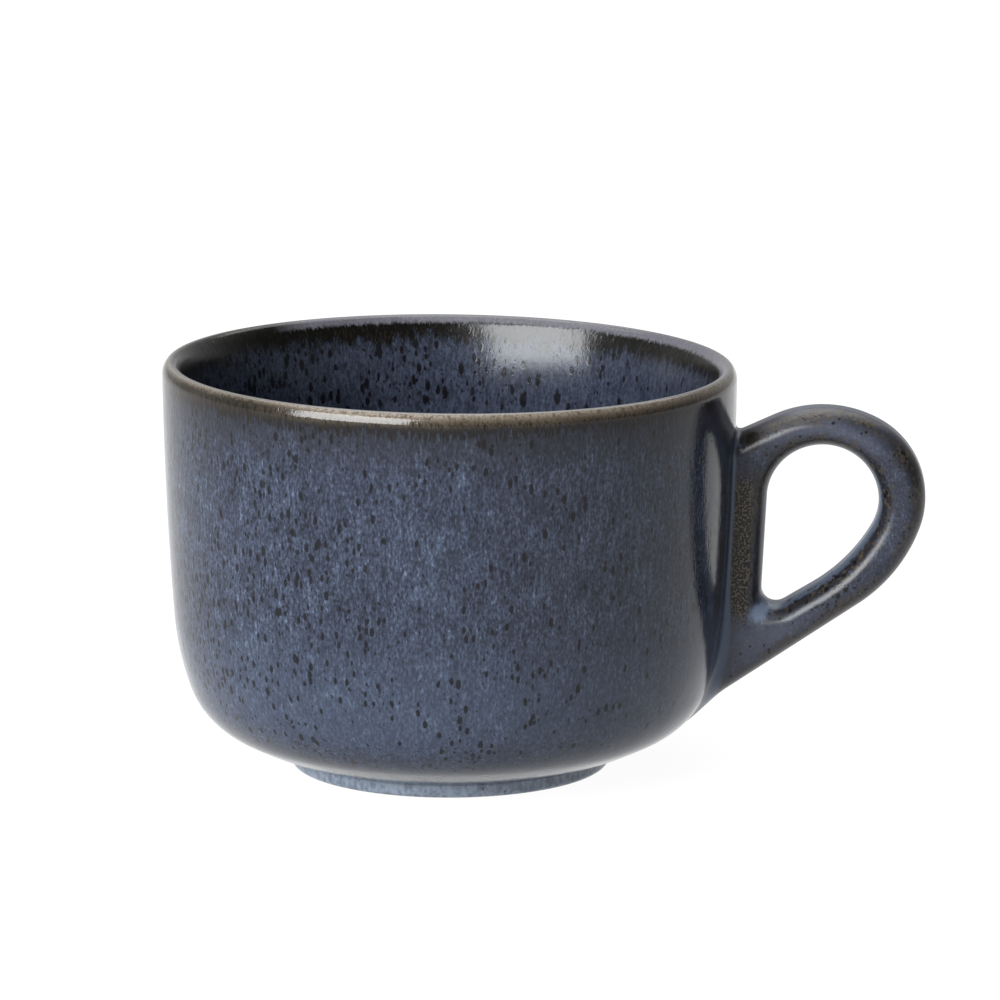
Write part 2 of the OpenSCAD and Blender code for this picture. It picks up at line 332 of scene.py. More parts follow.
def handle_field(x, y, z, full=False):
    """Distance to the bar alone; with full, also its ridges and its hollow, each 0 to 1."""
    do = g_outer(x, z) - FATTEN_OUT
    dh = -g_hole(x, z) - FATTEN_IN
    d2v = np.maximum(do, dh)
    ca, sa = math.cos(math.radians(PIT_TURN)), math.sin(math.radians(PIT_TURN))
    u = (x - PIT_AT[0]) * ca + (z - PIT_AT[1]) * sa
    w = -(x - PIT_AT[0]) * sa + (z - PIT_AT[1]) * ca
    sink = PIT * np.exp(-(u / PIT_LONG) ** 2 - (w / PIT_WIDE) ** 2)
    # the side faces are crowned across the bar
    ay = np.abs(y) + sink + CROWN * np.clip(1 + d2v / CROWN_IN, 0, 1) ** 2
    half = HAND_W / 2
    qx, qy = d2v + EDGE_R, ay - half + EDGE_R
    out = np.sqrt(np.maximum(qx, 0) ** 2 + np.maximum(qy, 0) ** 2)
    f = out + np.minimum(np.maximum(qx, qy), 0) - EDGE_R
    if not full:
        return f
    # a ridge is where the rounded edge faces halfway between side and rim of the bar
    facing = np.arctan2(np.maximum(qy, 0) + RIDGE_SOFT, np.maximum(qx, 0) + RIDGE_SOFT)
    ridge = np.where((qx > -RIDGE_W) & (qy > -RIDGE_W), 1 - np.abs(facing / (math.pi / 4) - 1), 0)
    return f, np.clip(ridge, 0, 1), sink / PIT


def blend_k(z):
    """Size of the fillet between bar and wall, which grows downward."""
    return 1.4 + 1.3 * smooth_step(34, 14, z)


# how far the coat's part on the wall hides under the wall's own, how deep it reaches into the
# clay and how far it goes from the bar
SKIN, SKIN_DEPTH, SKIN_REACH = 0.03, 0.45, 4.2


def skin_field(x, y, z, full=False):
    """Distance to bar and wall together, joined by the fillet."""
    r = np.sqrt(x * x + y * y)
    dw = g_wall(r, z)
    if full:
        dh, ridge, sink = handle_field(x, y, z, True)
    else:
        dh = handle_field(x, y, z)
    f, mix = smin(dw + SKIN, dh, blend_k(z))
    if full:
        return f, mix, ridge, sink, dw, dh
    return f, dw, dh


def cut_field(x, y, z):
    """The same, kept to the bar and a patch of the wall around it."""
    f, dw, dh = skin_field(x, y, z)
    return np.maximum(np.maximum(f, -(dw + SKIN_DEPTH)), dh - SKIN_REACH)


def surface_nets(step, inset=0.0):
    """Points and four-sided faces on the handle's surface, or inset below it."""
    xs = np.arange(BX0, BX1, step)
    ys = np.arange(-BY, BY + step / 2, step)
    zs = np.arange(BZ0, BZ1, step)
    gx, gy, gz = np.meshgrid(xs, ys, zs, indexing="ij")
    g = cut_field(gx.ravel(), gy.ravel(), gz.ravel()).reshape(gx.shape) + inset
    neg = g < 0
    nx, ny, nz = [n - 1 for n in g.shape]
    acc = np.zeros((nx, ny, nz, 3))
    cnt = np.zeros((nx, ny, nz))
    corner = [(i, j, k) for i in (0, 1) for j in (0, 1) for k in (0, 1)]
    sl = lambda i, n: slice(i, i + n)
    for a in corner:
        for ax in range(3):
            if a[ax]:
                continue
            b = list(a)
            b[ax] = 1
            ga = g[sl(a[0], nx), sl(a[1], ny), sl(a[2], nz)]
            gb = g[sl(b[0], nx), sl(b[1], ny), sl(b[2], nz)]
            m = (ga < 0) != (gb < 0)
            t = np.where(m, ga / np.where(ga == gb, 1, ga - gb), 0)
            for c in range(3):
                acc[..., c] += np.where(m, a[c] + (t if c == ax else 0), 0)
            cnt += m
    act = cnt > 0
    vid = -np.ones((nx, ny, nz), int)
    vid[act] = np.arange(act.sum())
    ii = np.argwhere(act)
    p = acc[act] / cnt[act][:, None] + ii
    verts = p * step + np.array([xs[0], ys[0], zs[0]])
    quads = []
    for ax in range(3):
        o1, o2 = [(1, 2), (2, 0), (0, 1)][ax]
        a = neg[tuple(slice(0, -1) if q == ax else slice(None) for q in range(3))]
        b = neg[tuple(slice(1, None) if q == ax else slice(None) for q in range(3))]
        m = a != b
        e = np.argwhere(m)
        ok = np.ones(len(e), bool)
        lim = (nx, ny, nz)
        for q in (o1, o2):
            ok &= (e[:, q] >= 1) & (e[:, q] < lim[q])
        e = e[ok]
        f0 = a[tuple(e.T)]
        u1 = np.zeros(3, int)
        u1[o1] = 1
        u2 = np.zeros(3, int)
        u2[o2] = 1
        c0, c1, c2, c3 = e - u1 - u2, e - u2, e, e - u1
        q = np.stack([vid[tuple(c.T)] for c in (c0, c1, c2, c3)], -1)
        q = np.where(f0[:, None], q, q[:, ::-1])
        quads.append(q)
    return verts, np.vstack(quads)


def grad(p, fn, e=0.02):
    """Slope of fn at points p, from differences over e either way."""
    out = np.zeros_like(p)
    for c in range(3):
        a, b = p.copy(), p.copy()
        a[:, c] += e
        b[:, c] -= e
        out[:, c] = (fn(*a.T) - fn(*b.T)) / (2 * e)
    return out


def settle(verts, quads, rounds=6):
    """Pulls the net onto the true surface, evening out the cells between steps."""
    n = len(verts)
    e = np.vstack([quads[:, [0, 1]], quads[:, [1, 2]], quads[:, [2, 3]], quads[:, [3, 0]]])
    for k in range(rounds):
        s = np.zeros_like(verts)
        c = np.zeros(n)
        np.add.at(s, e[:, 0], verts[e[:, 1]])
        np.add.at(s, e[:, 1], verts[e[:, 0]])
        np.add.at(c, e[:, 0], 1)
        np.add.at(c, e[:, 1], 1)
        if k < rounds - 1:
            verts = verts + 0.5 * (s / c[:, None] - verts)
        for _ in range(2):
            g = grad(verts, cut_field)
            f = cut_field(*verts.T)
            step = -(f / np.maximum((g * g).sum(1), 0.25))[:, None] * g
            ln = np.linalg.norm(step, axis=1, keepdims=True)
            verts = verts + step * np.minimum(1, 0.25 / np.maximum(ln, 1e-9))
    return verts


# ---------------------------------------------------------------- materials
class G:
    """A short way to write a material's node tree."""

    def __init__(self, name):
        self.mat = bpy.data.materials.new(name)
        self.mat.use_nodes = True
        self.nt = self.mat.node_tree
        self.nt.nodes.clear()
        self.bsdf = self.node("ShaderNodeBsdfPrincipled")
        self.link(self.bsdf.outputs[0], self.node("ShaderNodeOutputMaterial").inputs["Surface"])

    def node(self, kind, **kw):
        n = self.nt.nodes.new(kind)
        for k, v in kw.items():
            setattr(n, k, v)
        return n

    def link(self, a, b):
        self.nt.links.new(a, b)

    def put(self, sock, v):
        """Joins another node's output to a socket, or sets a plain value there."""
        if hasattr(v, "is_linked"):
            self.link(v, sock)
        else:
            sock.default_value = v

    def math(self, op, a, b, c=0.0):
        n = self.node("ShaderNodeMath", operation=op)
        for sock, v in zip(n.inputs, (a, b, c)):
            self.put(sock, v)
        return n.outputs[0]

    def add(self, a, b):
        return self.math("ADD", a, b)

    def sub(self, a, b):
        return self.math("SUBTRACT", a, b)

    def mul(self, a, b):
        return self.math("MULTIPLY", a, b)

    def muladd(self, a, b, c):
        return self.math("MULTIPLY_ADD", a, b, c)

    def high(self, a, b):
        return self.math("MAXIMUM", a, b)

    def below(self, a, b):
        return self.math("LESS_THAN", a, b)

    def coords(self, stretch=1.0, off=(0, 0, 0)):
        """Places on the object; a stretch under 1 draws a pattern out downward."""
        m = self.node("ShaderNodeMapping")
        self.link(self.node("ShaderNodeTexCoord").outputs["Object"], m.inputs["Vector"])
        m.inputs["Scale"].default_value = (1, 1, stretch)
        m.inputs["Location"].default_value = off
        return m.outputs[0]

    def xyz(self):
        n = self.node("ShaderNodeSeparateXYZ")
        self.link(self.coords(), n.inputs[0])
        return n.outputs

    def noise(self, vec, scale, detail, rough=0.55):
        """scale is in cells to the metre."""
        n = self.node("ShaderNodeTexNoise")
        self.link(vec, n.inputs["Vector"])
        n.inputs["Scale"].default_value = scale
        n.inputs["Detail"].default_value = detail
        n.inputs["Roughness"].default_value = rough
        return n.outputs["Fac"]

    def voronoi(self, vec, scale, out="Distance"):
        n = self.node("ShaderNodeTexVoronoi")
        self.link(vec, n.inputs["Vector"])
        n.inputs["Scale"].default_value = scale
        return n.outputs[out]

    def ramp(self, fac, stops):
        n = self.node("ShaderNodeValToRGB")
        el = n.color_ramp.elements
        while len(el) < len(stops):
            el.new(0.5)
        for e, (p, c) in zip(el, stops):
            e.position = p
            e.color = (*c, 1)
        self.link(fac, n.inputs[0])
        return n.outputs[0]

    def step(self, x, a, b):
        """0 where x is at a and 1 where it is at b, with soft ends."""
        n = self.node("ShaderNodeMapRange", interpolation_type="SMOOTHSTEP")
        self.put(n.inputs["Value"], x)
        n.inputs["From Min"].default_value = a
        n.inputs["From Max"].default_value = b
        return n.outputs["Result"]

    def mix(self, fac, a, b):
        n = self.node("ShaderNodeMix", data_type="RGBA")
        self.put(n.inputs[0], fac)
        for i, v in ((6, a), (7, b)):      # the mix node's two colour sockets
            self.put(n.inputs[i], (*v, 1) if isinstance(v, tuple) else v)
        return n.outputs[2]

    def cover(self, under, over, mask, share=None):
        """Lays one colour over another where the mask is on, or only so much of it."""
        return self.mix(mask if share is None else self.mul(mask, share), under, over)

    def attr(self, name):
        return self.node("ShaderNodeAttribute", attribute_name=name).outputs["Fac"]

    def bump(self, height, strength, dist):
        n = self.node("ShaderNodeBump")
        self.link(height, n.inputs["Height"])
        n.inputs["Strength"].default_value = strength
        n.inputs["Distance"].default_value = dist
        self.link(n.outputs[0], self.bsdf.inputs["Normal"])


def lin(r, g, b):
    """Screen colour, 0 to 255, to linear light."""
    f = lambda c: c / 12.92 if c <= 0.04045 else ((c + 0.055) / 1.055) ** 2.4
    return tuple(f(v / 255) for v in (r, g, b))


# colours, as they read on screen
SLATE_D, SLATE, SLATE_L = lin(14, 17, 25), lin(30, 34, 45), lin(46, 53, 67)
FLECK = lin(76, 86, 102)
THIN_GREY = lin(21, 21, 26)                              # the thinner coat under the lip
LOW_BLUE, HEEL_SHADE_BLUE = lin(64, 74, 92), lin(24, 32, 50)   # low wall, and painted shade at the heel
# the last of these is painted shade for the inside on the handle's side
INSIDE_D, INSIDE_L, INSIDE_PAINTED_SHADE = lin(25, 28, 37), lin(44, 49, 61), lin(14, 16, 22)
SPECK = lin(5, 4, 5)
BLACK = lin(4, 4, 3)
UMBER, UMBER_DARK, BROWN_DARK = lin(11, 8, 6), lin(12, 10, 7), lin(22, 18, 13)
BROWN, TAN_DARK, TAN = lin(64, 57, 48), lin(58, 51, 42), lin(97, 89, 80)
# painted highlight: the lip's top is painted light for the overhead light's reflection
LIP_TOP_HIGHLIGHT = lin(78, 75, 72)
# painted reflection on the lip's inner edge
FAR_LIP_REFLECT_D, FAR_LIP_REFLECT_L = lin(44, 43, 46), lin(84, 83, 90)
POOL_AND_LIT_BLUE, POOL_PALE = lin(66, 77, 94), lin(97, 109, 127)     # thick glaze in a hollow; the first is also painted light on the loop's inner face
# the pale bar colour is partly painted light on the top faces
BAR_GREY, BAR_LIT_AND_PALE = lin(38, 36, 42), lin(68, 71, 83)
RIDGE_DARK, RIDGE_BROWN = lin(15, 13, 12), lin(46, 38, 28)
BREAK_DARK, BREAK_BROWN = lin(14, 12, 11), lin(52, 46, 38)
SPINE_DARK, SPINE_TAN = lin(2, 2, 2), lin(70, 62, 50)
SPOT_DARK, SPOT_BROWN = lin(14, 11, 8), lin(40, 32, 22)
# painted reflection: the foot is painted pale for the white floor's light
FOOT_REFLECT_D, FOOT_REFLECT_L = lin(80, 87, 98), lin(104, 113, 125)
CLAY, CLAY_DOT = lin(176, 152, 124), lin(96, 72, 52)

MID = 0.5                # the middle of a noise's values
SPECULAR = 0.25          # the glaze mirrors less than bare glass does
TONE_STOPS = ((0.37, SLATE_D), (0.49, SLATE), (0.59, SLATE_L), (0.70, FLECK))


def glaze_base(g, stretch=0.5):
    """Mottled blue glaze: a fine grain drawn out downward, with pale flecks."""
    grain = g.noise(g.coords(stretch), 2800, 2.0, 0.6)
    streak = g.noise(g.coords(stretch * 0.4, (0.1, 0.2, 0.05)), 1700, 2.0, 0.6)
    patch = g.noise(g.coords(0.6, (0.3, 0.1, 0.2)), 300, 2.0, 0.5)
    broad = g.noise(g.coords(0.7, (0.5, 0.3, 0.7)), 45, 2.0, 0.5)
    tone = g.add(g.mul(grain, 0.50), g.mul(streak, 0.26))
    tone = g.add(tone, g.mul(patch, 0.14))
    tone = g.add(tone, g.mul(broad, 0.10))
    return g.ramp(tone, TONE_STOPS), tone


def specks(g, share, size=1000.0, stretch=0.5, r0=0.16, r1=0.34, off=(0.0, 0.0, 0.0)):
    """Small dark drips with ragged edges. share is how many of the cells hold one, size is cells
    to the metre, and r0 and r1 are the least and greatest radius in cells."""
    v = g.coords(stretch, off)
    dist = g.voronoi(v, size)
    rnd = g.node("ShaderNodeSeparateColor")
    g.link(g.voronoi(v, size, "Color"), rnd.inputs[0])
    keep = g.below(rnd.outputs[0], share)
    edge = g.noise(g.coords(0.8), 4200, 1.0)
    rad = g.muladd(rnd.outputs[1], r1 - r0, r0)
    rad = g.add(rad, g.mul(g.sub(edge, MID), 0.16))
    return g.mul(g.step(g.sub(rad, dist), -0.07, 0.07), keep)


def finish_gloss(g, tone, rough, pits=None):
    """Orange peel, shallow pits in the specks, and a roughness that follows the grain."""
    peel = g.noise(g.coords(0.6, (0.7, 0.3, 0.1)), 160, 2.0, 0.5)
    h = g.add(peel, g.mul(tone, 0.35))
    if pits is not None:
        h = g.sub(h, g.mul(pits, 0.12))
    g.bump(h, 0.3, 0.0003)
    g.link(g.add(g.mul(tone, 0.12), g.sub(rough, 0.06)), g.bsdf.inputs["Roughness"])
    g.bsdf.inputs["IOR"].default_value = 1.5
    g.bsdf.inputs["Specular IOR Level"].default_value = SPECULAR


def drip_mask(g, inside, x):
    """Dark drips: many on the side away from the handle, fewer elsewhere, larger ones inside."""
    side = g.step(x, 0.04, -0.03)
    herd = g.noise(g.coords(1, (0.15, 0.05, 0.35)), 75, 2.0, 0.5)
    share = g.muladd(g.step(herd, 0.36, 0.62), 0.95, 0.16)
    share = g.mul(share, g.muladd(side, 0.75, 0.25))
    share = g.add(share, g.mul(inside, 0.16))
    plain = specks(g, share, 1000.0, 0.5, 0.2, 0.42)
    fine = specks(g, g.mul(share, 0.6), 1900, 0.55, 0.14, 0.36, (0.4, 0.1, 0.2))
    large = specks(g, g.mul(inside, 0.55), 560, 0.45, 0.17, 0.33, (0.1, 0.6, 0.2))
    return g.high(g.high(plain, g.mul(fine, 0.8)), g.mul(large, inside))


def body_material():
    """One glaze for wall, lip and inside. They are told apart by s, the millimetres run from the
    lip's top, which grow down the outside and fall below zero down the inside."""
    g = G("glaze_cup")
    col, tone = glaze_base(g)
    s = g.attr("s_mm")
    fringe = g.noise(g.coords(0.16, (0.2, 0.4, 0.6)), 2700, 2.0, 0.65)
    drips = g.noise(g.coords(0.16, (0.7, 0.1, 0.3)), 850, 2.0, 0.5)
    waves = g.noise(g.coords(0.5, (0.5, 0.2, 0.9)), 70, 2.0, 0.5)
    f0, d0, w0 = g.sub(fringe, MID), g.sub(drips, MID), g.sub(waves, MID)

    def ragged(fine, slow):
        """s with an edge that runs in fine drips and slow waves, of so many millimetres."""
        return g.add(s, g.add(g.mul(f0, fine), g.mul(w0, slow)))

    x, _, z = g.xyz()
    inside = g.step(s, -0.8, -1.6)
    outside = g.step(s, -0.3, 0.3)
    away = g.step(x, -0.010, -0.030)
    dark = drip_mask(g, inside, x)
    # outside, the coat is thinner and greyer for some way under the lip
    s_wide = g.add(g.add(s, g.mul(f0, 8.0)), g.mul(w0, 1.6))
    col = g.cover(col, THIN_GREY, g.mul(g.step(s_wide, 12.0, 4.2), outside), 0.72)
    # bluer low on the wall, and painted shade darkens the heel under the bowl
    heel = g.mul(g.step(z, 0.012, 0.006), outside)
    low = g.mul(g.step(z, 0.034, 0.016), g.mul(outside, g.step(z, 0.007, 0.013)))
    col = g.cover(col, HEEL_SHADE_BLUE, heel, 0.45)
    col = g.cover(col, LOW_BLUE, low, 0.22)
    # inside it is darker; on the handle's side painted shade darkens it more
    deep_col = g.mix(g.step(tone, 0.40, 0.64), INSIDE_D, INSIDE_L)
    deep_col = g.cover(deep_col, INSIDE_PAINTED_SHADE, g.step(x, 0.014, 0.036), 0.42)
    col = g.cover(col, deep_col, inside, 0.85)
    col = g.cover(col, SPECK, dark, 0.88)
    # bands from the wall up to the lip: umber, brown and tan. Away from the handle the tan is
    # narrower, and the brown is wider and darker
    col = g.mix(g.mul(g.step(s_wide, 4.6, 3.2), g.mul(outside, 0.9)), col, UMBER)
    s_brown = g.sub(ragged(5.0, 1.2), g.mul(away, 0.7))
    brown = g.mix(g.step(fringe, 0.38, 0.6), BROWN_DARK, BROWN)
    brown = g.cover(brown, UMBER_DARK, away, 0.85)
    col = g.cover(col, brown, g.mul(g.step(s_brown, 3.2, 1.9), outside))
    s_tan = g.add(ragged(3.0, 0.6), g.mul(away, 0.6))
    tan = g.mix(g.step(fringe, 0.36, 0.62), TAN_DARK, TAN)
    col = g.cover(col, tan, g.mul(g.step(s_tan, 1.9, 0.9), outside))
    # painted highlight: a light line along the lip's top, for the overhead light's reflection
    col = g.cover(col, LIP_TOP_HIGHLIGHT, g.mul(g.step(s, 0.7, 0.3), g.step(s, -1.6, -0.7)))
    # down the inside it is nearly black, with ragged drips
    s_in = g.add(s, g.add(g.mul(d0, 5.0), g.mul(f0, 5.0)))
    s_in = g.add(s_in, g.mul(w0, 2.5))
    black = g.mix(g.step(fringe, 0.5, 0.7), BLACK, BROWN_DARK)
    col = g.cover(col, black, g.mul(g.step(s_in, -7.0, -3.7), g.step(s, 0.2, -0.6)))
    # painted reflection: a grey line, standing for the surroundings' reflection, runs along the
    # lip's inner edge, except on the side away from the handle
    s_lip = g.add(s, g.mul(f0, 1.3))
    lip_reflection = g.mul(g.step(s_lip, -2.3, -1.6), g.step(s, 0.4, -0.2))
    lip_reflection = g.mul(lip_reflection, g.step(g.add(x, g.mul(w0, 0.02)), -0.032, -0.024))
    col = g.cover(col, g.mix(fringe, FAR_LIP_REFLECT_D, FAR_LIP_REFLECT_L), lip_reflection, 0.9)
    # below the black band the inside is its own blue, with its specks
    below = g.mul(g.step(s_in, -3.7, -7.0), g.step(s, -1.5, -3.0))
    col = g.cover(col, g.cover(deep_col, SPECK, dark, 0.9), below)
    g.link(col, g.bsdf.inputs["Base Color"])
    finish_gloss(g, tone, g.muladd(inside, 0.085, 0.12), dark)
    return g.mat


def handle_material():
    """The same blue on the bar, breaking brown on its ridges and pale where it pools, with painted
    light that makes its top faces and the loop's inner face paler. Its masks come with the mesh,
    except for the noises."""
    g = G("glaze_handle")
    col, tone = glaze_base(g, 0.7)
    col = g.mix(0.3, col, BAR_GREY)
    ridge, pool, sink = g.attr("ridge"), g.attr("pool"), g.attr("sink")
    spine, inner, drip = g.attr("spine"), g.attr("inner"), g.attr("drip")
    fine = g.noise(g.coords(0.7, (0.3, 0.6, 0.1)), 1500, 2.0, 0.6)
    slow = g.noise(g.coords(1, (0.8, 0.1, 0.4)), 110, 2.0, 0.5)
    herd = g.noise(g.coords(1, (0.35, 0.75, 0.15)), 170, 2.0, 0.5)
    hatch = g.noise(g.coords(0.9, (0.1, 0.9, 0.3)), 3000, 1.0, 0.5)
    fine0, slow0 = g.sub(fine, MID), g.sub(slow, MID)
    rag = g.mul(fine0, 1.3)
    # thin and dark on the ridges, brown on the sharpest of them
    thin = g.add(ridge, g.add(rag, g.mul(slow0, 1.6)))
    col = g.cover(col, RIDGE_DARK, g.step(thin, 0.25, 0.95), 0.75)
    col = g.cover(col, RIDGE_BROWN, g.step(thin, 0.85, 1.5), 0.6)
    # the spine's side face, brown and finely broken
    col = g.cover(col, g.mix(g.step(hatch, 0.46, 0.62), SPINE_DARK, SPINE_TAN), spine, 0.93)
    # painted light: the top faces are paler, as if lit from above; the web is paler too
    _, _, z = g.xyz()
    lit_top_and_pale_web = g.high(g.step(z, 0.049, 0.055), g.step(z, 0.030, 0.022))
    lit_top_and_pale_web = g.mul(lit_top_and_pale_web, g.sub(1.0, spine))
    lit_top_and_pale_web = g.mul(lit_top_and_pale_web, g.muladd(ridge, -0.75, 1.0))
    col = g.cover(col, BAR_LIT_AND_PALE, lit_top_and_pale_web, 0.42)
    # herds of brown breaks and dark specks along the ridges
    brk = g.mul(g.step(g.add(herd, g.mul(rag, 0.7)), 0.46, 0.60), g.step(ridge, 0.1, 0.6))
    col = g.cover(col, g.mix(g.step(fine, 0.42, 0.6), BREAK_DARK, BREAK_BROWN), brk, 0.8)
    share = g.muladd(g.mul(g.high(ridge, inner), g.step(herd, 0.42, 0.54)), 0.95, 0.05)
    dots = specks(g, share, 1350, 0.8, 0.16, 0.42, (0.2, 0.2, 0.2))
    col = g.cover(col, SPECK, dots, 0.9)
    # pale blue in the crease along the wall and in the web's hollow; along the loop's inner face
    # the pale band is painted light
    wash = g.add(g.mul(slow0, 0.8), g.mul(rag, 0.4))
    hollow = g.step(g.add(sink, wash), 0.28, 0.85)
    # painted light: a pale band along the loop's inner face
    lit_inner_band = g.step(g.add(inner, g.mul(rag, 0.5)), 0.35, 0.9)
    pooled_and_lit = g.high(pool, g.high(g.mul(hollow, 0.9), g.mul(lit_inner_band, 0.6)))
    col = g.cover(col, g.mix(hollow, POOL_AND_LIT_BLUE, POOL_PALE), pooled_and_lit, 0.9)
    # larger specks on the lower arm, beside the hole
    blobs = specks(g, g.mul(drip, g.step(herd, 0.36, 0.56)), 1000, 0.8, 0.2, 0.42, (0.6, 0.3, 0.5))
    col = g.cover(col, SPECK, blobs, g.mul(drip, 0.9))
    spot = g.step(g.add(g.attr("spot"), g.mul(fine0, 0.8)), 0.45, 0.75)
    col = g.cover(col, g.mix(g.step(fine, 0.45, 0.7), SPOT_DARK, SPOT_BROWN), spot, 0.95)
    g.link(col, g.bsdf.inputs["Base Color"])
    finish_gloss(g, tone, 0.3, dots)
    return g.mat


def foot_material():
    """Blue glaze painted pale, a painted reflection of the white floor, with few specks."""
    g = G("glaze_foot")
    tone = glaze_base(g, 1.0)[1]
    mottle = g.noise(g.coords(0.6), 1300, 2.0, 0.6)
    col = g.mix(g.step(mottle, 0.35, 0.65), FOOT_REFLECT_D, FOOT_REFLECT_L)
    col = g.cover(col, SLATE, specks(g, 0.1, 1200, 1.0), 0.6)
    g.link(col, g.bsdf.inputs["Base Color"])
    finish_gloss(g, tone, 0.12)
    return g.mat


def clay_material():
    """Bare fired clay: dull, sandy, with small iron dots."""
    g = G("bare_clay")
    mottle = g.noise(g.coords(), 900, 4.0, 0.6)
    sand = g.noise(g.coords(1, (0.2, 0.3, 0.1)), 2600, 2.0, 0.5)
    col = g.mix(g.step(mottle, 0.3, 0.7), tuple(c * 0.82 for c in CLAY), CLAY)
    col = g.cover(col, CLAY_DOT, specks(g, 0.2, 1500, 1.0), 0.7)
    g.link(col, g.bsdf.inputs["Base Color"])
    g.bump(g.add(sand, g.mul(mottle, 0.6)), 0.5, 0.00012)
    g.link(g.add(g.mul(sand, 0.15), 0.62), g.bsdf.inputs["Roughness"])
    return g.mat


M_BODY, M_HANDLE, M_FOOT, M_CLAY = (body_material(), handle_material(), foot_material(),
                                    clay_material())


# ---------------------------------------------------------------- pieces
def dress(ob, mat, node):
    """Gives a piece its material, hangs it on the root body and hides the CAD part that it
    replaces.
    """
    ob.data.materials.append(mat)
    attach(ob, "root")
    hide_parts(node)


def shell(name, s_from, s_to, node, mat):
    """A thin closed coat over the part of the cup's line between two lengths from the lip."""
    pick = [i for i, s in enumerate(skin_s) if s_from <= s <= s_to]
    ring = [skin[i] for i in pick] + [deep[i] for i in pick[::-1]]
    s = [skin_s[i] for i in pick] + [skin_s[i] for i in pick[::-1]]
    dress(revolve(name, ring, s), mat, node)


# the cuts lie on points of the line, so neighbouring coats meet edge to edge
CUT_IN, CUT_OUT, FAR = -5.5, 3.9, 1e3    # millimetres from the lip's top
cut_in = min(skin_s, key=lambda s: abs(s - CUT_IN))
cut_out = min(skin_s, key=lambda s: abs(s - CUT_OUT))
shell("wall_coat", cut_out, FAR, "outer_glaze", M_BODY)
shell("rim_coat", cut_in, cut_out, "rim_glaze", M_BODY)
shell("inside_coat", -FAR, cut_in, "inner_glaze", M_BODY)
core = [deep[i] for i in range(0, len(deep), 3)]
core[-1] = deep[-1]
core += [np.array([FOOT_R - GLAZE, FOOT_H]), np.array([0, FOOT_H])]
dress(revolve("clay_bowl", core, [0.0] * len(core), 120), M_CLAY, "bowl")

FOOT_S, BASE_S = 70.0, 80.0      # stand-in lengths for coats far below the bands
# foot: the coat sweeps from the heel into the ring with a small hollow
foot_curve = [heel_p] + arc([FOOT_R + 0.75, FOOT_H - 0.62], 0.75, 108, 180, 10)
foot_out = foot_curve + [np.array([FOOT_R, z]) for z in np.linspace(FOOT_H - 0.75, 0.95, 5)]
foot_out += arc([FOOT_R - 0.85, 0.95], 0.85, 0, -68, 10, 1)
foot_in = [heel_p - GLAZE * d2(HEEL_A), np.array([FOOT_R - GLAZE - 0.1, FOOT_H + 0.2])]
foot_in += arc([FOOT_R - 0.85, 0.95], 0.4, 0, -68, 6)
foot_line = foot_out + foot_in[::-1]
dress(revolve("foot_coat", foot_line, [FOOT_S] * len(foot_line)), M_FOOT,
      "foot_glaze")

# base: a flat disc inside the ring, with a round corner, down to where the glaze is wiped off
in_r, BASE_ROUND = FOOT_R - FOOT_T, 0.7
corner_x = in_r - BASE_ROUND
base_out = [np.array([x, FOOT_H - GLAZE]) for x in np.linspace(0, corner_x, 8)]
base_out += arc([corner_x, FOOT_H - GLAZE - BASE_ROUND], BASE_ROUND, 90, 0, 8, 1)
base_out += [np.array([in_r, WIPE_H])]
base_in = [np.array(q) for q in ((0, FOOT_H), (in_r + GLAZE, FOOT_H), (in_r + GLAZE, WIPE_H))]
base_line = base_out + base_in[::-1]
dress(revolve("base_coat", base_line, [BASE_S] * len(base_line)), M_BODY,
      "base_glaze")

# handle: its mesh, and masks at each point that its material lays the colours by
NET_FINE, NET_QUICK, CLAY_NET, CLAY_INSET = 0.32, 0.55, 0.8, 0.5
verts, quads = surface_nets(NET_FINE)
verts = settle(verts, quads)
_, mix, ridge, sink, dw, _ = skin_field(*verts.T, full=True)
x, y, z = verts.T
# the side face of the spine
spine_dir = (spine_b - spine_a) / np.linalg.norm(spine_b - spine_a)
spine = smooth_step(2.3, 0.9, np.abs(line_gap(x, z, spine_a, spine_dir)))
spine *= smooth_step(49, 45, z) * smooth_step(22, 27, z) * smooth_step(2.2, 4.2, np.abs(y))
spot = np.exp(-((x - SPOT[0]) / SPOT_W) ** 4 - ((z - SPOT[2]) / SPOT_H) ** 4)
spot *= smooth_step(1.5, 3.5, -y)
# the crease along the wall, narrow at the top, fading out at its toe and where it meets the wall
toe = z[dw > 0.05].min()
pool = smooth_step(0.5 + 0.35 * smooth_step(20, 40, z), 0.95, mix)
pool *= smooth_step(0.0, 0.12, dw) * smooth_step(toe, toe + 3.5, z)
# the lower arm beside the hole, and the loop's inner face
hole_gap = g_hole(x, z)
drip = smooth_step(4.4, 2.6, hole_gap) * smooth_step(37, 31, z) * smooth_step(50, 53, x)
inner = smooth_step(1.5, 0.5, np.abs(hole_gap)) * smooth_step(4.2, 2.4, np.abs(y))
ob = new_mesh("handle_coat", verts, quads.tolist(),
              {"ridge": ridge, "pool": pool, "sink": sink, "spine": spine, "spot": spot,
               "inner": inner, "drip": drip})
dress(ob, M_HANDLE, "handle_glaze")

verts, quads = surface_nets(CLAY_NET, CLAY_INSET)
dress(new_mesh("clay_handle", verts, quads.tolist()), M_CLAY, "handle")

# the two CAD nodes that stay
for node_name in ("foot_ring", "handle_lute"):
    for mat_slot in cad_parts[node_name].material_slots:
        mat_slot.material = M_CLAY

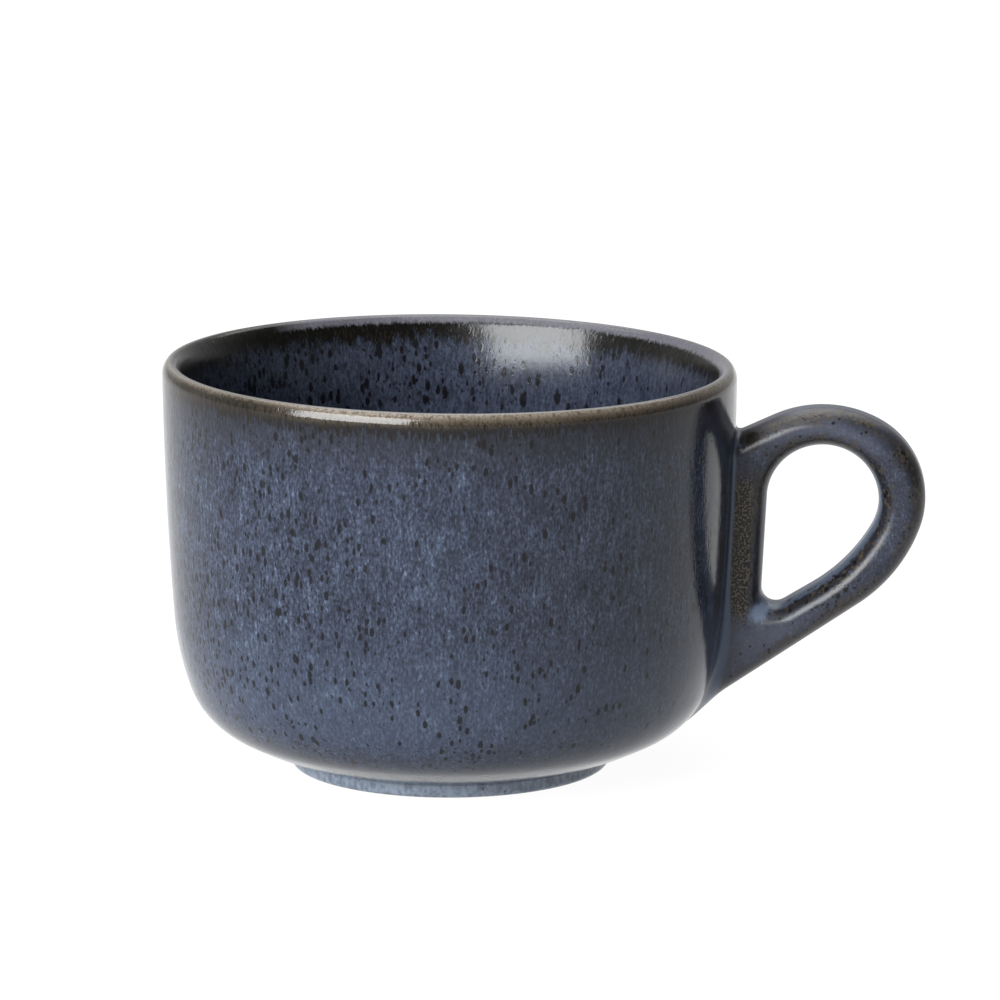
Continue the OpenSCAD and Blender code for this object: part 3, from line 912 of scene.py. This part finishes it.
# ---------------------------------------------------------------- floor, lights, camera
FLOOR_HALF = 6.0                         # metres
FLOOR_ALBEDO, FLOOR_GLOW = (0.055, 0.065), 0.96     # the glow keeps the floor nearly white
WORLD_SPAN = {"From Min": 0.0, "From Max": 0.9, "To Min": 0.16, "To Max": 0.6}
TURN = math.radians(HANDLE_TURN)
WHITE = (1, 1, 1, 1)
# the camera and the lights are turned about the cup by the handle's turn
turn = np.array([[math.cos(TURN), -math.sin(TURN), 0], [math.sin(TURN), math.cos(TURN), 0],
                 [0, 0, 1]])

floor_me = bpy.data.meshes.new("floor")
S = FLOOR_HALF
floor_me.from_pydata([(-S, -S, 0), (S, -S, 0), (S, S, 0), (-S, S, 0)], [], [(0, 1, 2, 3)])
floor = bpy.data.objects.new("floor", floor_me)
bpy.context.scene.collection.objects.link(floor)
g = G("floor")
n = g.noise(g.coords(), 6, 3.0)
g.link(g.mix(n, *[(c, c, c) for c in FLOOR_ALBEDO]), g.bsdf.inputs["Base Color"])
g.bsdf.inputs["Roughness"].default_value = 0.9
g.bsdf.inputs["Specular IOR Level"].default_value = 0.0
g.bsdf.inputs["Emission Color"].default_value = WHITE
g.bsdf.inputs["Emission Strength"].default_value = FLOOR_GLOW
floor.data.materials.append(g.mat)

# the world is dim on the camera's side and brighter behind the cup
world = bpy.data.worlds.new("studio")
bpy.context.scene.world = world
world.use_nodes = True
wt = world.node_tree
bg = wt.nodes["Background"]
tc = wt.nodes.new("ShaderNodeTexCoord")
dot = wt.nodes.new("ShaderNodeVectorMath")
dot.operation = "DOT_PRODUCT"
dot.inputs[1].default_value = (-math.sin(TURN), math.cos(TURN), 0)
wt.links.new(tc.outputs["Generated"], dot.inputs[0])
span = wt.nodes.new("ShaderNodeMapRange")
span.interpolation_type = "SMOOTHSTEP"
for k, v in WORLD_SPAN.items():
    span.inputs[k].default_value = v
wt.links.new(dot.outputs["Value"], span.inputs["Value"])
wt.links.new(span.outputs["Result"], bg.inputs[1])
bg.inputs[0].default_value = WHITE


def place(name, data, x, y, z, loc):
    """An object for a light or camera whose own axes point along x, y and z."""
    ob = bpy.data.objects.new(name, data)
    bpy.context.scene.collection.objects.link(ob)
    m = Matrix.Identity(4)
    for r in range(3):
        m[r][0], m[r][1], m[r][2], m[r][3] = x[r], y[r], z[r], loc[r]
    ob.matrix_world = m
    return ob


def area(name, loc, target, w, h, radiance, watt_area):
    """A rectangular light at loc that faces the target. Its power is radiance * pi * watt_area."""
    li = bpy.data.lights.new(name, "AREA")
    li.energy = radiance * math.pi * watt_area
    li.shape = "RECTANGLE"
    li.size, li.size_y = w, h
    z = np.array(loc, float) - np.array(target, float)
    z /= np.linalg.norm(z)
    x = np.cross((0, 0, 1.0), z)
    x /= np.linalg.norm(x)
    return place(name, li, x, np.cross(z, x), z, loc)


def softbox(name, azimuth, elevation, dist, w, h, radiance, target=(0, 0, 0.035)):
    """A soft light seen from the cup at that azimuth, from the camera's side toward the right."""
    a, e = math.radians(azimuth + HANDLE_TURN), math.radians(elevation)
    d = np.array([math.sin(a) * math.cos(e), -math.cos(a) * math.cos(e), math.sin(e)])
    return area(name, np.array(target) + dist * d, target, w, h, radiance, w * h)


key = softbox("key", -40, 25, 0.9, 0.74, 0.62, 22.5)
key.data.color = (0.955, 0.98, 1.0)
softbox("back", 165, 58, 1.0, 0.8, 0.8, 2.2)
softbox("side", -100, 20, 1.0, 0.8, 0.8, 0.4)
over = turn @ np.array([-0.25, 0.02, 0.85])
straight_down = over * np.array([1, 1, 0]) + np.array([0.001, 0, 0])    # aside a hair, to aim by
area("top", over, straight_down, 1.0, 0.8, 2.6, 0.8)

SENSOR = 36.0
cam = bpy.data.cameras.new("camera")
cam.sensor_width = SENSOR
cam.lens = CAM_F * SENSOR
cam.clip_start, cam.clip_end = 0.01, 50
p = math.radians(CAM_PITCH)
fw = turn @ np.array([0, math.cos(p), -math.sin(p)])
right = turn @ np.array([1.0, 0, 0])
loc = turn @ np.array([CAM_X, -CAM_DIST, CAM_H]) * MM
bpy.context.scene.camera = place("camera", cam, right, np.cross(right, fw), -fw, loc)
bpy.context.scene.view_settings.view_transform = "Standard"
